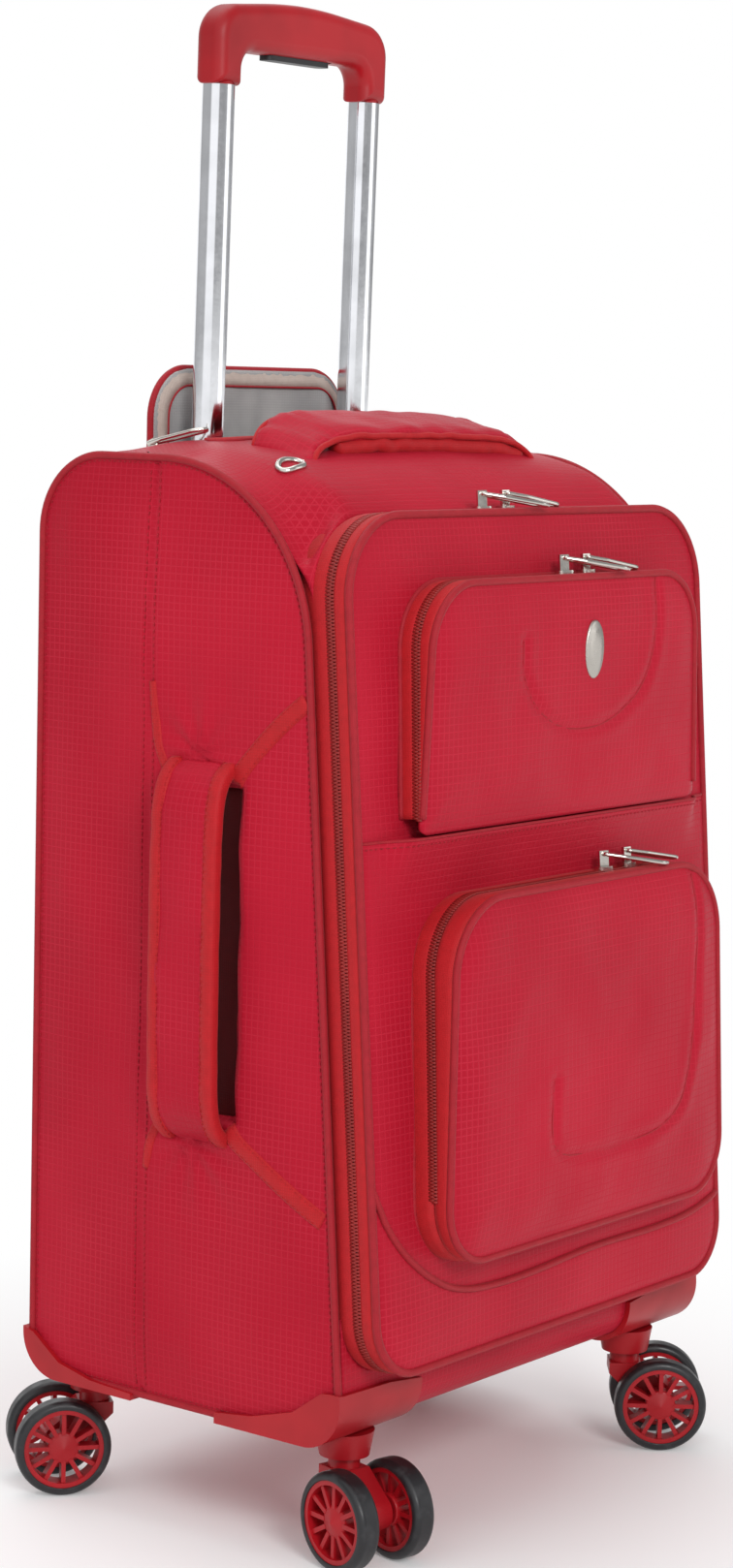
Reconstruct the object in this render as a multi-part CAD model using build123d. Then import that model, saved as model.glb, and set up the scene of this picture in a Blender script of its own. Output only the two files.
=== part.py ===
"""Softside upright suitcase on four twin-wheel casters, with its trolley handle raised.

Millimetres. +Z is up, -Y is the front with the lid and pockets, +X is the right side seen from the front.
The origin is on the floor, midway between the four caster swivel axes.
"""
from build123d import *
import math
import os

# Body
BODY_HALF_W = 158.0         # centre to the outside of a side panel
WALL = 4.0                  # padded fabric wall
BODY_BOTTOM = 66.0
BODY_BACK = 100.0
BODY_TOP = 543.0
BACK_TOP_R = 40.0
BODY_RADII = (20.0, BACK_TOP_R, 95.0, 20.0)
# Front plane: the lid and the front rim lean back by this angle about a line across the case
FRONT_TILT = 4.5
RIM_Y = -88.5
RIM_Z = 290.0
# Lid, in the front plane's own axes: x across, w up, o outwards from the rim
LID_HALF_W = 154.0
LID_TOP = 228.0
LID_BOTTOM = -192.0
LID_TOP_R = 42.0
LID_BOTTOM_R = 30.0
SPLIT_O = 11.0              # the main zip runs here, half way along the lid's side band
LID_O = 22.0                # outside of the lid's front panel
RIM_DEPTH = 28.0            # how far the body's front rim reaches back inside
ZIP_GAP = 0.15              # half the gap between two zipped edges
# Pockets: half-widths at the bottom and top, bottom and top edges, corner radii, zip and front depths
UPPER = dict(bottom_w=122.0, top_w=116.0, bottom=72.0, top=194.0, bottom_r=5.0, top_r=34.0,
             rim=12.0, front_bottom=14.0, front_top=24.0)
LOWER = dict(bottom_w=124.0, top_w=117.0, bottom=-140.0, top=40.0, bottom_r=30.0, top_r=40.0,
             rim=14.0, front_bottom=22.0, front_top=31.0)
FLAP_WALL = 3.0
# Trolley
TUBE_X = 61.0
TUBE_Y = 72.0               # at the lean's pivot height
LEAN_Z = 640.0
TROLLEY_LEAN = 1.0          # degrees, tops forward
TOP_TUBE_R = 8.6
MID_TUBE_R = 10.2
OUTER_TUBE_R = 11.8
TUBE_WALL = 1.5
TUBE_GAP = 0.1
TOP_TUBE_WALL = 1.2
TUBE_FOOT = 78.0
OUTER_TUBE_TOP = 480.5
MID_TUBE_TOP = 486.0
TOP_TUBE_BOTTOM = 335.0
GRIP_BOTTOM = 733.0
GRIP_TOP = 779.0
GRIP_HALF_W = 71.0
GRIP_DEPTH = 20.0
GRIP_BAR = 28.0             # height of the grip's cross bar
SLEEVE_W = 20.0
PLUG_DEPTH = 24.0           # how far the grip's plugs reach down into the tubes
TRIGGER = (52.0, 9.0, 7.0)
TRIGGER_GAP = 0.3
TRIGGER_TRAVEL = 3.0
CUP_HALF_W = 84.0
CUP_Y = (52.0, 92.0)
CUP_FLOOR = 484.0
CUP_WALL = 2.5
# Casters
CASTER_X = 126.0
CASTER_Y = 84.0
WHEEL_R = 25.2
RIM_R = 20.9
TYRE_W = 12.5
WHEEL_SPREAD = 17.5         # fork centre to the middle of one wheel
TRAIL = 19.0
FORK_W = 18.0
FORK_TOP = 51.1
STEM_BOTTOM = 51.5
KINGPIN_Z = (40.0, 63.5)
KINGPIN_R = 3.0
AXLE_R = 2.5
AXLE_REACH = 3.0            # how far the axle goes past the middle of each wheel
RUNNING_GAP = 0.05
SPOKES = 12
HEADINGS = {"fl": 77.2, "fr": 128.2, "bl": -39.2, "br": 45.0}   # fork direction at rest
GUARD_WALL = 3.0
GUARD_GAP = 0.15
GUARD_INNER_X = 94.0
# Zip sliders and their ring pulls
SLIDER = (9.0, 8.0, 2.4)
PIVOT_H = 9.0
RING_LENGTH = 38.0
RING_HALF_W = 5.5
RING_WIRE_R = 1.1
PIN_HALF = 2.6
# Slider places along each zip, as x of the left and right slider
MAIN_SLIDERS = (-28.0, -8.0)
UPPER_SLIDERS = (9.6, 29.2)
LOWER_SLIDERS = (33.8, 55.2)
RING_YAWS = (-30.0, -10.0)
RING_DROOP = 11.0
# Handles and rear flap
TOP_HANDLE_HALF = 112.0
TOP_HANDLE_W = 40.0
TOP_HANDLE_TOP = 561.0
SIDE_HANDLE_Z = (198.0, 401.0)
SIDE_HANDLE_Y = (-27.0, 12.0)
SIDE_HANDLE_OUT = 18.0
HANDLE_T = 8.5
REAR_FLAP_HALF_W = 81.0
REAR_FLAP = (95.0, 98.0, 526.0, 588.0)   # y from, y to, z from, z to
REAR_SLIDER = (-98.0, 76.0)              # x, y of the rear zip's slider

CORNERS = {"fl": (-1, -1), "fr": (1, -1), "bl": (-1, 1), "br": (1, 1)}
FRONT = Pos(0, RIM_Y, RIM_Z) * Rot(-FRONT_TILT, 0, 0)
LEAN = Pos(0, TUBE_Y, LEAN_Z) * Rot(TROLLEY_LEAN, 0, 0) * Pos(0, 0, -LEAN_Z)
PARTS = {}


def front_plane_y(z):
    """y of the body's front line at height z."""
    return RIM_Y + (z - RIM_Z) * math.tan(math.radians(FRONT_TILT))


def face_of(points, radii):
    """A closed outline with rounded corners, as a face."""
    return make_face(FilletPolyline(*points, radius=list(radii), close=True))


def side_outline(grow=0.0):
    """The body's outline seen from the side, as x = y and y = z, grown outwards by grow."""
    points = [
        (BODY_BACK, BODY_BOTTOM),
        (BODY_BACK, BODY_TOP),
        (front_plane_y(BODY_TOP), BODY_TOP),
        (front_plane_y(BODY_BOTTOM), BODY_BOTTOM),
    ]
    outline = face_of(points, BODY_RADII)
    return offset(outline, grow) if grow else outline


def across(face, x_from, x_to):
    """A side-view face extruded across the case."""
    return Pos(x_from, 0, 0) * extrude(Plane.YZ * face, x_to - x_from)


def outward(face, o_from, o_to):
    """A front-view face extruded outwards between two distances from the rim, in front axes."""
    return Pos(0, -o_from, 0) * extrude(Plane.XZ * face, o_to - o_from)


def slab(x_from, x_to, y_from, y_to, z_from, z_to):
    """A box given by its limits."""
    size = (x_to - x_from, y_to - y_from, z_to - z_from)
    middle = ((x_to + x_from) / 2, (y_to + y_from) / 2, (z_to + z_from) / 2)
    return Pos(*middle) * Box(*size)


def lid_outline(inset=0.0):
    """The lid's outline in front axes."""
    half = LID_HALF_W - inset
    low = LID_BOTTOM + inset
    high = LID_TOP - inset
    bottom_r = LID_BOTTOM_R - inset
    top_r = LID_TOP_R - inset
    points = [(-half, low), (half, low), (half, high), (-half, high)]
    return face_of(points, (bottom_r, bottom_r, top_r, top_r))


def pocket_outline(pocket, inset=0.0):
    """A pocket's outline in front axes."""
    low = pocket["bottom"] + inset
    high = pocket["top"] - inset
    wide = pocket["bottom_w"] - inset
    narrow = pocket["top_w"] - inset
    bottom_r = max(pocket["bottom_r"] - inset, 1.0)
    top_r = pocket["top_r"] - inset
    points = [(-wide, low), (wide, low), (narrow, high), (-narrow, high)]
    return face_of(points, (bottom_r, bottom_r, top_r, top_r))


def add(name, *solids):
    """Keep a sub-part, which may be a group of separate solids."""
    found = [solid for item in solids for solid in item.solids()]
    PARTS[name] = found[0] if len(found) == 1 else Compound(children=found)


def make_body():
    """The padded walls of the case, and the rim that the lid zips to."""
    inner_x = BODY_HALF_W - WALL
    outline = side_outline()
    add("side_panel_left", across(outline, -BODY_HALF_W, -inner_x))
    add("side_panel_right", across(outline, inner_x, BODY_HALF_W))
    band = across(outline - side_outline(-WALL), -inner_x, inner_x)
    band -= FRONT * outward(lid_outline(), -60, 60)
    base_top = 112.0
    top_from = 500.0
    wide = 2 * BODY_HALF_W
    back_wall = slab(-wide, wide, 0, wide, base_top, top_from)
    low = slab(-wide, wide, -wide, wide, 0, base_top)
    roof = slab(-wide, wide, -wide, wide, top_from, 700) + slab(-wide, wide, -wide, 0, 400, top_from)
    cup_hole = slab(-CUP_HALF_W, CUP_HALF_W, *CUP_Y, CUP_FLOOR - 20, 600)
    add("base_panel", band & low)
    add("back_panel", band & back_wall)
    add("top_panel", (band & roof) - cup_hole)
    rim = outward(lid_outline() - lid_outline(WALL), -RIM_DEPTH, SPLIT_O - ZIP_GAP)
    wire_inset = WALL + 2.0
    wire_path = (Plane.XZ * lid_outline(wire_inset)).wire()
    start = Plane(wire_path @ 0, z_dir=wire_path % 0)
    wire = sweep(start * Circle(1.5), wire_path)
    add("front_rim", FRONT * rim)
    add("rim_wire", FRONT * Pos(0, 4, 0) * wire)


def make_lid():
    """The hinged lid with the fixed half of each pocket's side band."""
    shell = outward(lid_outline(), SPLIT_O + ZIP_GAP, LID_O)
    hollow = outward(lid_outline(WALL), SPLIT_O - 1, LID_O - 3)
    add("lid_panel", FRONT * (shell - hollow))
    for name, pocket in (("upper", UPPER), ("lower", LOWER)):
        ring = pocket_outline(pocket) - pocket_outline(pocket, FLAP_WALL)
        add(f"{name}_pocket_rim", FRONT * outward(ring, LID_O, LID_O + pocket["rim"] - ZIP_GAP))


def slanted_cut(pocket, less):
    """What lies outside a pocket's sloping front, moved inwards by less."""
    low = LID_O + pocket["front_bottom"] - less
    high = LID_O + pocket["front_top"] - less
    far = 90.0
    profile = Polyline(
        (-low, pocket["bottom"]), (-high, pocket["top"]), (-far, pocket["top"] + 9),
        (-far, pocket["bottom"] - 9), close=True)
    return across(make_face(profile), -2 * BODY_HALF_W, 2 * BODY_HALF_W)


def make_flap(name, pocket):
    """A pocket's zipped front: a panel with the moving half of the side band."""
    start = LID_O + pocket["rim"] + ZIP_GAP
    block = outward(pocket_outline(pocket), start, LID_O + 40) - slanted_cut(pocket, 0)
    hollow = outward(pocket_outline(pocket, FLAP_WALL), start - 1, LID_O + 40)
    hollow -= slanted_cut(pocket, FLAP_WALL)
    add(name, FRONT * (block - hollow))


def make_badge():
    """A plain oval plate on the upper pocket, with its two studs."""
    plate = extrude(Plane.XZ * Ellipse(8, 15), 1.6)
    slope = math.degrees(math.atan2(UPPER["front_top"] - UPPER["front_bottom"], UPPER["top"] - UPPER["bottom"]))
    depth = LID_O + UPPER["front_bottom"]
    place = FRONT * Pos(0, -depth, UPPER["bottom"]) * Rot(slope, 0, 0)
    add("badge", place * Pos(16, 0, 84) * plate)


def make_trolley():
    """Two-stage trolley: outer and mid tubes, sliding top tubes, grip, release bar, cup and foot bracket."""
    def pair(radius, z_from, z_to, wall=TUBE_WALL):
        ring = Circle(radius) - Circle(radius - wall)
        tube = Pos(0, 0, z_from) * extrude(ring, z_to - z_from)
        return [LEAN * Pos(side * TUBE_X, 0, 0) * tube for side in (-1, 1)]

    add("outer_tubes", *pair(OUTER_TUBE_R, TUBE_FOOT, OUTER_TUBE_TOP))
    add("mid_tubes", *pair(MID_TUBE_R, TUBE_FOOT + 8, MID_TUBE_TOP))
    add("top_tubes", *pair(TOP_TUBE_R, TOP_TUBE_BOTTOM, GRIP_BOTTOM, TOP_TUBE_WALL))

    bar_bottom = GRIP_TOP - GRIP_BAR
    opening = GRIP_HALF_W - SLEEVE_W
    shoulder = GRIP_TOP - 6
    outer = face_of(
        [(-GRIP_HALF_W, GRIP_BOTTOM), (GRIP_HALF_W, GRIP_BOTTOM), (GRIP_HALF_W, shoulder), (0, GRIP_TOP + 1),
         (-GRIP_HALF_W, shoulder)],
        (1, 1, 18, 300, 18))
    gap = face_of(
        [(-opening, GRIP_BOTTOM - 30), (opening, GRIP_BOTTOM - 30), (opening, bar_bottom), (-opening, bar_bottom)],
        (4, 4, 10, 10))
    grip = Pos(0, GRIP_DEPTH / 2, 0) * extrude(Plane.XZ * (outer - gap), GRIP_DEPTH)
    grip = fillet(grip.edges().filter_by(lambda edge: abs(edge.center().Y) > GRIP_DEPTH / 2 - 0.1), 7)
    for side in (-1, 1):
        plug = Cylinder(TOP_TUBE_R - TOP_TUBE_WALL - RUNNING_GAP, PLUG_DEPTH + 10)
        grip += Pos(side * TUBE_X, 0, GRIP_BOTTOM + (10 - PLUG_DEPTH) / 2) * plug
    pocket = Box(TRIGGER[0] + 2 * TRIGGER_GAP, TRIGGER[1] + 2 * TRIGGER_GAP, 2 * (TRIGGER[2] + TRIGGER_TRAVEL))
    trigger = Pos(0, 0, bar_bottom + TRIGGER[2] / 2 - 2.5) * fillet(Box(*TRIGGER).edges().filter_by(Axis.Z), 4)
    add("grip", LEAN * (grip - Pos(0, 0, bar_bottom) * pocket))
    add("release_bar", LEAN * trigger)

    cup_x = CUP_HALF_W - GUARD_GAP
    cup_y = (CUP_Y[0] + GUARD_GAP, CUP_Y[1] - GUARD_GAP)
    cup = slab(-cup_x, cup_x, *cup_y, CUP_FLOOR - CUP_WALL, 600) & across(side_outline(), -cup_x, cup_x)
    cup -= slab(-cup_x + CUP_WALL, cup_x - CUP_WALL, cup_y[0] + CUP_WALL, cup_y[1] - CUP_WALL, CUP_FLOOR, 600)
    bracket = slab(-80, 80, 64, BODY_BACK, BODY_BOTTOM, TUBE_FOOT + 14)
    bracket &= across(side_outline(-WALL - GUARD_GAP), -80, 80)
    for side in (-1, 1):
        cup -= LEAN * Pos(side * TUBE_X, 0, CUP_FLOOR) * Cylinder(MID_TUBE_R + 0.4, 30)
        bracket -= LEAN * Pos(side * TUBE_X, 0, TUBE_FOOT + 30) * Cylinder(OUTER_TUBE_R, 60)
    add("trolley_cup", cup)
    add("foot_bracket", bracket)


def guard(side_x, side_y):
    """A moulded corner guard with the caster's stem housing under it."""
    outer = across(side_outline(GUARD_WALL), GUARD_INNER_X, BODY_HALF_W + GUARD_WALL)
    inner = across(side_outline(GUARD_GAP), 0, BODY_HALF_W + GUARD_GAP)
    if side_y < 0:
        side_view = [(-28, 55), (-28, 68.5), (-52, 71.5), (-78, 79), (-96, 92), (-115, 94), (-115, 55)]
    else:
        side_view = [(28, 55), (28, 66.5), (56, 68), (78, 73), (96, 86), (115, 92), (115, 55)]
    front_view = [(GUARD_INNER_X, 55), (GUARD_INNER_X, 88), (120, 91), (157, 92), (170, 94), (170, 55)]
    shell = outer - inner
    shell &= across(make_face(Polyline(*side_view, close=True)), 0, 200)
    shell &= Pos(0, 200, 0) * extrude(Plane.XZ * make_face(Polyline(*front_view, close=True)), 400)
    y = side_y * CASTER_Y
    stem_top = BODY_BOTTOM - GUARD_GAP - 1.5
    cone = Pos(CASTER_X, y, (STEM_BOTTOM + stem_top) / 2) * Cone(12.7, 15, stem_top - STEM_BOTTOM)
    seat = Pos(CASTER_X, y, BODY_BOTTOM - 9) * Cylinder(8, 10)
    hole = Pos(CASTER_X, y, 50) * Cylinder(KINGPIN_R, 60)
    solid = shell + cone - seat - hole
    return solid if side_x > 0 else mirror(solid, Plane.YZ)


def fork():
    """The swivelling fork between the twin wheels, trailing towards -X, with its axle hole."""
    outline = make_hull(
        (Pos(-TRAIL, WHEEL_R) * Circle(9)).edges()
        + (Pos(0, 42.3) * Rectangle(17.6, 6)).edges())
    arm = Pos(0, FORK_W / 2, 0) * extrude(Plane.XZ * outline, FORK_W)
    arm &= Pos(-TRAIL / 2, 0, 30) * Box(60, FORK_W, 60)
    neck = Pos(0, 0, FORK_TOP - 6.5) * Cylinder(8.1, 13)
    axle_hole = Pos(-TRAIL, 0, WHEEL_R) * Rot(90, 0, 0) * Cylinder(AXLE_R + RUNNING_GAP, 60)
    pin_hole = Pos(0, 0, FORK_TOP) * Cylinder(KINGPIN_R + RUNNING_GAP, 25)
    return arm + neck - axle_hole - pin_hole


def wheel_rim():
    """One spoked wheel rim with a domed hub, its axis along Z and its outer face up."""
    half = 5.5
    ring = Cylinder(RIM_R, 2 * half) - Cylinder(RIM_R - 2.4, 3 * half)
    profile = face_of([(0, -half), (8.4, -half), (8.4, half - 1.8), (0, half + 0.6)], (0.1, 1.0, 1.5, 0.1))
    hub = revolve(Plane.XZ * profile, Axis.Z)
    rim = ring + hub
    spoke_length = RIM_R - 8.2
    spoke = Pos(7 + spoke_length / 2, 0, 0.3) * Box(spoke_length, 2.3, 2 * half - 3.0)
    for turn in range(SPOKES):
        rim += Rot(0, 0, turn * 360 / SPOKES) * spoke
    return rim - Pos(0, 0, AXLE_REACH + RUNNING_GAP - 10) * Cylinder(AXLE_R, 20)


def tyre():
    """One tyre ring around the rim, its axis along Z."""
    half = TYRE_W / 2
    points = [(RIM_R, -half), (WHEEL_R, -half), (WHEEL_R, half), (RIM_R, half)]
    return revolve(Plane.XZ * face_of(points, (0.4, 3.2, 3.2, 0.4)), Axis.Z)


def make_casters():
    """Corner guards, kingpins, bearings, forks, axles, rims and tyres."""
    one_fork = fork()
    one_rim = wheel_rim()
    one_tyre = tyre()
    axle = Rot(90, 0, 0) * Cylinder(AXLE_R, 2 * (WHEEL_SPREAD + AXLE_REACH))
    pins = []
    bearings = []
    for corner, (side_x, side_y) in CORNERS.items():
        x = side_x * CASTER_X
        y = side_y * CASTER_Y
        place = Pos(x, y, 0) * Rot(0, 0, HEADINGS[corner])
        hub = place * Pos(-TRAIL, 0, WHEEL_R)
        add(f"corner_guard_{corner}", guard(side_x, side_y))
        add(f"fork_{corner}", place * one_fork)
        add(f"axle_{corner}", hub * axle)
        left = hub * Pos(0, WHEEL_SPREAD, 0) * Rot(-90, 0, 0)
        right = hub * Pos(0, -WHEEL_SPREAD, 0) * Rot(90, 0, 0)
        add(f"rims_{corner}", left * one_rim, right * one_rim)
        add(f"tyres_{corner}", left * one_tyre, right * one_tyre)
        pins.append(Pos(x, y, sum(KINGPIN_Z) / 2) * Cylinder(KINGPIN_R, KINGPIN_Z[1] - KINGPIN_Z[0]))
        race = Cylinder(8, 7) - Cylinder(KINGPIN_R, 9)
        bearings.append(Pos(x, y, BODY_BOTTOM - 9) * race)
    add("kingpins", *pins)
    add("swivel_bearings", *bearings)


def slider():
    """A zip slider on its zip: body below, bridge with the pull's hole above, in the zip's own axes."""
    body = Pos(0, 0, SLIDER[2] / 2 + 0.3) * fillet(Box(*SLIDER).edges().filter_by(Axis.Z), 2.5)
    bridge = Pos(0, 0, (PIVOT_H + 2.4) / 2) * Box(5.0, 2.0, PIVOT_H + 1.2)
    return body + bridge - Pos(0, 0, PIVOT_H) * Rot(90, 0, 0) * Cylinder(RING_WIRE_R + 0.07, 8)


def ring_pull(droop, yaw):
    """A long wire ring whose short end is the pin through the slider's bridge."""
    corners = [(0, -PIN_HALF), (0, PIN_HALF), (11, RING_HALF_W), (RING_LENGTH - 5, RING_HALF_W),
               (RING_LENGTH, 0), (RING_LENGTH - 5, -RING_HALF_W), (11, -RING_HALF_W)]
    path = FilletPolyline(*corners, radius=[1.2, 1.2, 9, 4, 2.5, 4, 9], close=True)
    start = Plane(path @ 0, z_dir=path % 0)
    ring = sweep(start * Circle(RING_WIRE_R), path)
    return Pos(0, 0, PIVOT_H) * Rot(0, 0, yaw) * Rot(0, droop, 0) * ring


def make_zip(name, places, w, o):
    """Two sliders with ring pulls on a zip's straight top run."""
    for side, x, yaw in zip(("left", "right"), places, RING_YAWS):
        place = FRONT * Pos(x, -o, w)
        add(f"{name}_slider_{side}", place * Rot(0, 0, yaw) * slider())
        add(f"{name}_pull_{side}", place * ring_pull(RING_DROOP, yaw))


def make_handles():
    """Top and side carry handles: padded straps with both ends on the case."""
    case = across(side_outline(), -BODY_HALF_W, BODY_HALF_W)
    half = TOP_HANDLE_HALF
    high = TOP_HANDLE_TOP
    low = BODY_TOP - 8
    arch = face_of([(-half, low), (-half + 14, high), (half - 14, high), (half, low)], (1, 14, 14, 1))
    arch -= face_of([(-half + 30, low - 9), (-half + 38, high - HANDLE_T), (half - 38, high - HANDLE_T),
                     (half - 30, low - 9)], (1, 8, 8, 1))
    strap = Pos(0, TOP_HANDLE_W / 2, 0) * extrude(Plane.XZ * arch, TOP_HANDLE_W)
    add("top_handle", strap - case)
    z_low, z_high = SIDE_HANDLE_Z
    face_x = -BODY_HALF_W
    out_x = face_x - SIDE_HANDLE_OUT
    arch = face_of([(face_x, z_low), (out_x, z_low + 14), (out_x, z_high - 14), (face_x, z_high)], (1, 12, 12, 1))
    arch -= face_of([(face_x + 9, z_low + 19), (out_x + HANDLE_T, z_low + 31), (out_x + HANDLE_T, z_high - 31),
                     (face_x + 9, z_high - 19)], (1, 8, 8, 1))
    strap = Pos(0, SIDE_HANDLE_Y[1], 0) * extrude(Plane.XZ * arch, SIDE_HANDLE_Y[1] - SIDE_HANDLE_Y[0])
    add("side_handle", strap)


def make_rear_flap():
    """The flap that covers the trolley cup, standing open behind the tubes, and its zip slider."""
    y_from, y_to, z_from, z_to = REAR_FLAP
    half = REAR_FLAP_HALF_W
    outline = face_of([(-half, z_from), (half, z_from), (half, z_to), (-half, z_to)], (2, 2, 24, 24))
    add("rear_flap", Pos(0, y_to, 0) * extrude(Plane.XZ * outline, y_to - y_from))
    x, y = REAR_SLIDER
    slope = math.degrees(math.asin((y - BODY_BACK + BACK_TOP_R) / BACK_TOP_R))
    height = BODY_TOP - BACK_TOP_R + BACK_TOP_R * math.cos(math.radians(slope))
    place = Pos(x, y, height) * Rot(-slope, 0, 0) * Rot(0, 0, -90)
    add("rear_slider", place * slider())
    add("rear_pull", place * ring_pull(RING_DROOP, 0.0))


def make_eyelet():
    """A small oval metal eyelet in the roof, in front of the top handle's left end."""
    x, y = -92.0, -27.0
    ring = extrude(Ellipse(8, 5) - Ellipse(5, 2.6), 40)
    skin = across(side_outline(0.8) - side_outline(0.0), -120, -60)
    add("eyelet", (Pos(x, y, 525) * ring) & skin)


make_body()
make_lid()
make_flap("upper_flap", UPPER)
make_flap("lower_flap", LOWER)
make_badge()
make_trolley()
make_casters()
make_zip("main", MAIN_SLIDERS, LID_TOP, SPLIT_O)
make_zip("upper", UPPER_SLIDERS, UPPER["top"], LID_O + UPPER["rim"])
make_zip("lower", LOWER_SLIDERS, LOWER["top"], LID_O + LOWER["rim"])
make_handles()
make_rear_flap()
make_eyelet()

os.makedirs("parts", exist_ok=True)
for name, shape in PARTS.items():
    export_step(shape, f"parts/{name}.step")
print(len(PARTS), "nodes")
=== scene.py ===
"""Softside upright suitcase: fabric, zips, handles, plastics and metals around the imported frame."""
import math
from contextlib import contextmanager
import bmesh
import bpy
import numpy as np
from mathutils import Matrix, Vector, noise


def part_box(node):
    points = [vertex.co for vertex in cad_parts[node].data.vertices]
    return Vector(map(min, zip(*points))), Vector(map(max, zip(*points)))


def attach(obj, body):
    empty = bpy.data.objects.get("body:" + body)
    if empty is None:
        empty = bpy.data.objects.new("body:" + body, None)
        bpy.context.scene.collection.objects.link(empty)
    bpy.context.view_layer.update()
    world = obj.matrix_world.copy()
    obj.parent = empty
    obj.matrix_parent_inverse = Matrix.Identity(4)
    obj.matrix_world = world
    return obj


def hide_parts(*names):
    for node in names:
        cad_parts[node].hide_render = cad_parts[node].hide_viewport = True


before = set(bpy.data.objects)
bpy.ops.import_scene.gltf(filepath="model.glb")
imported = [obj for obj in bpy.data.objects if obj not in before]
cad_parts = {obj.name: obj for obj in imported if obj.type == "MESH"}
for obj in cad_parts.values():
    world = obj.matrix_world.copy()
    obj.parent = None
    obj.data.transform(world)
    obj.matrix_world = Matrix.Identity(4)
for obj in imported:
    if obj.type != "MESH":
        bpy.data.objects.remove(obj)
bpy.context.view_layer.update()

MM = 0.001

# ---------------------------------------------------------------- sizes, in millimetres, as in the frame
BODY_HALF_W = 158.0
PANEL_X = 154.0              # inner face of the side panels
BODY_BACK = 100.0
BODY_BOTTOM = 66.0
FRONT_TILT = math.radians(4.5)
RIM_Y = -88.5
RIM_Z = 290.0
BODY_TOP = 543.0
PROFILE = [(BODY_BACK, BODY_BOTTOM), (BODY_BACK, BODY_TOP), (-68.6, BODY_TOP), (-106.1, BODY_BOTTOM)]
BACK_TOP_R = 40.0
PROFILE_R = [20.0, BACK_TOP_R, 95.0, 20.0]
BACK_SEAM_Z = 485.0          # where the roof meets the back
ROOF_FRONT_Y = 20.0          # where the roof starts to fall towards the lid
ROOF_CROWN = 9.0
TUBE_X = 61.0
LID_HALF_W = 154.0
LID_TOP = 228.0
LID_BOTTOM = -192.0
LID_TOP_R = 42.0
LID_BOTTOM_R = 30.0
SPLIT_O = 11.0
LID_O = 22.0
UPPER = dict(bottom_w=122.0, top_w=116.0, bottom=72.0, top=194.0, bottom_r=5.0, top_r=34.0,
             rim=12.0, front_bottom=14.0, front_top=24.0)
LOWER = dict(bottom_w=124.0, top_w=117.0, bottom=-140.0, top=40.0, bottom_r=30.0, top_r=40.0,
             rim=14.0, front_bottom=22.0, front_top=31.0)
SEAM_W = 70.4                # top edge of the lid's lower panel
PIPING_R = 1.9
TOOTH_PITCH = 1.7
CLOTH_THICK = 2.4
GRID_PITCH = 0.0036          # ripstop squares, in metres


# ---------------------------------------------------------------- material nodes
class Nodes:
    """A material with short calls for its nodes."""

    def __init__(self, name, colour, roughness):
        self.material = bpy.data.materials.new(name)
        self.material.use_nodes = True
        self.tree = self.material.node_tree
        self.shader = self.tree.nodes["Principled BSDF"]
        self.set(self.shader, "Base Color", (*colour, 1.0))
        self.set(self.shader, "Roughness", roughness)
        self.coords = self.tree.nodes.new("ShaderNodeTexCoord")

    def set(self, node, socket, value):
        if isinstance(value, bpy.types.NodeSocket):
            self.tree.links.new(value, node.inputs[socket])
        else:
            node.inputs[socket].default_value = value

    def math(self, operation, first, second=0.0, third=0.0):
        node = self.tree.nodes.new("ShaderNodeMath")
        node.operation = operation
        for index, value in enumerate((first, second, third)):
            self.set(node, index, value)
        return node.outputs[0]

    def split(self, vector):
        node = self.tree.nodes.new("ShaderNodeSeparateXYZ")
        self.set(node, 0, vector)
        return node.outputs

    def noise(self, scale, detail=3.0, vector=None):
        node = self.tree.nodes.new("ShaderNodeTexNoise")
        self.set(node, "Vector", vector or self.coords.outputs["Object"])
        self.set(node, "Scale", scale)
        self.set(node, "Detail", detail)
        return node.outputs["Fac"]

    def mix(self, factor, first, second):
        node = self.tree.nodes.new("ShaderNodeMix")
        node.data_type = "RGBA"
        self.set(node, 0, factor)
        for socket, colour in ((6, first), (7, second)):
            self.set(node, socket, colour if isinstance(colour, bpy.types.NodeSocket) else (*colour, 1.0))
        return node.outputs[2]

    def range(self, value, low, high, to_low=0.0, to_high=1.0):
        node = self.tree.nodes.new("ShaderNodeMapRange")
        for index, number in enumerate((value, low, high, to_low, to_high)):
            self.set(node, index, number)
        return node.outputs[0]

    def bump(self, height, strength, distance):
        node = self.tree.nodes.new("ShaderNodeBump")
        self.set(node, "Height", height)
        self.set(node, "Strength", strength)
        self.set(node, "Distance", distance)
        self.set(self.shader, "Normal", node.outputs[0])

    def lines(self, pitch, width):
        """Lines across each axis of the piece, hidden where the surface faces along that axis."""
        place = self.split(self.coords.outputs["Object"])
        normal = self.split(self.coords.outputs["Normal"])
        found = []
        for axis in range(3):
            phase = self.math("FRACT", self.math("MULTIPLY", place[axis], 1.0 / pitch))
            away = self.math("ABSOLUTE", self.math("SUBTRACT", phase, 0.5))
            line = self.range(away, 0.5 - width, 0.5 - width * 0.4)
            facing = self.math("ABSOLUTE", normal[axis])
            shown = self.range(facing, 0.65, 0.85, 1.0, 0.0)
            found.append(self.math("MULTIPLY", line, shown))
        return self.math("MAXIMUM", found[0], self.math("MAXIMUM", found[1], found[2]))

    def look(self, base, **values):
        """Sets the base colour and any other of the shader's sockets, written with _ for each space."""
        self.set(self.shader, "Base Color", base)
        for socket, value in values.items():
            self.set(self.shader, socket.replace("_", " "), value)


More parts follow.
